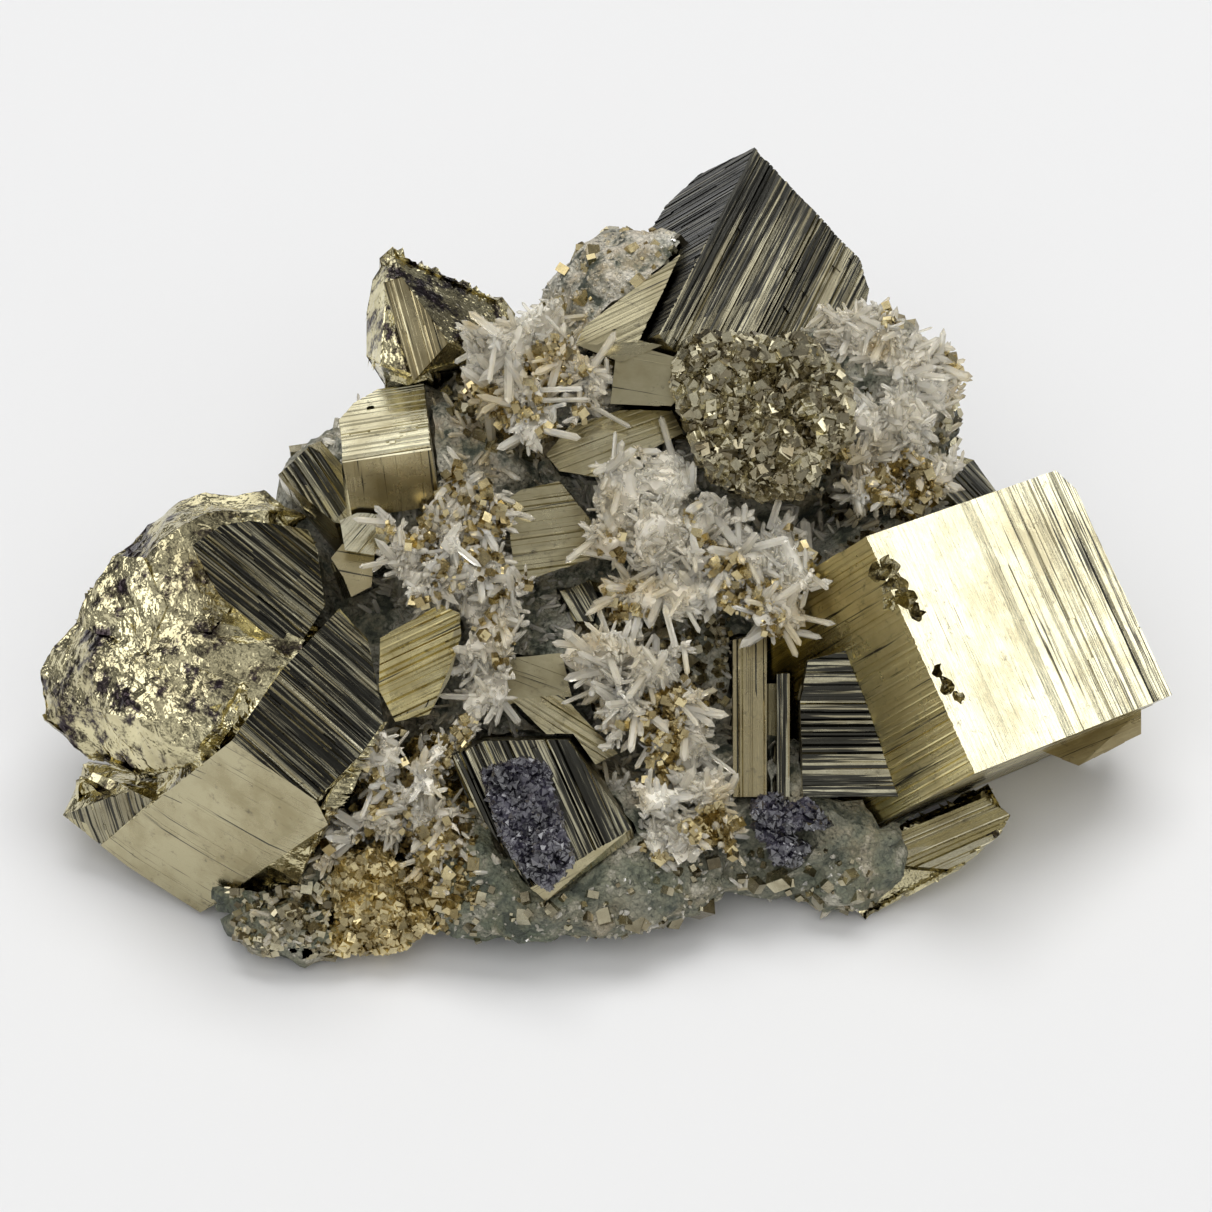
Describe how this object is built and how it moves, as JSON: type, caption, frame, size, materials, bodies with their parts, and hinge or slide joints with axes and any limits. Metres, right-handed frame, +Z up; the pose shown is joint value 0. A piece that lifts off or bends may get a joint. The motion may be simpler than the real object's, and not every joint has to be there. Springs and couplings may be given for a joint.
{
  "type": "pyrite with quartz mineral specimen",
  "caption": "Hand specimen of striated pyrite cubes and quartz needle sprays on gray-green rock, resting on a flat break with its crystal face leaning back.",
  "frame": {"origin": "middle of the box around the whole specimen, on the surface it rests on", "axes": "+X across the crystal face to its right, the longest side; +Y towards the back; +Z up"},
  "size_m": [0.0886, 0.0562, 0.0375],
  "materials": {
    "pyrite_bright": "polished, striated",
    "pyrite_dark": "striated, lightly tarnished",
    "pyrite_grain": "sparkling grains",
    "rock": "rough",
    "quartz": "clear to milky",
    "sphalerite": "shiny, dark violet"
  },
  "bodies": {
    "root": {"pyrite_right_cubes": "pyrite_bright", "pyrite_top_cube": "pyrite_dark", "pyrite_left_mass": "pyrite_dark", "pyrite_bottom": "pyrite_dark", "pyrite_small_cube": "pyrite_bright", "pyrite_golden": "pyrite_bright", "pyrite_pillars": "pyrite_dark", "pyrite_peak": "pyrite_dark", "pyrite_wedge": "pyrite_dark", "pyrite_druse_block": "pyrite_grain", "pyrite_upper_block": "pyrite_dark", "pyrite_center": "pyrite_dark", "pyrite_center_upper": "pyrite_dark", "pyrite_low_center": "pyrite_dark", "pyrite_cavity": "pyrite_dark", "pyrite_lower_right": "pyrite_bright", "pyrite_dark_corner": "pyrite_dark", "pyrite_back_upper": "pyrite_dark", "pyrite_back_lower": "pyrite_dark", "pyrite_druse_lower": "pyrite_grain", "sphalerite_crust": "sphalerite", "sphalerite_patch": "sphalerite", "matrix_rock": "rock", "quartz_upper_left": "quartz", "quartz_center_left": "quartz", "quartz_center": "quartz", "quartz_lower_center": "quartz", "quartz_upper_right": "quartz", "quartz_lower_left": "quartz", "quartz_bottom_center": "quartz", "quartz_back": "quartz"}
  },
  "joints": []
}
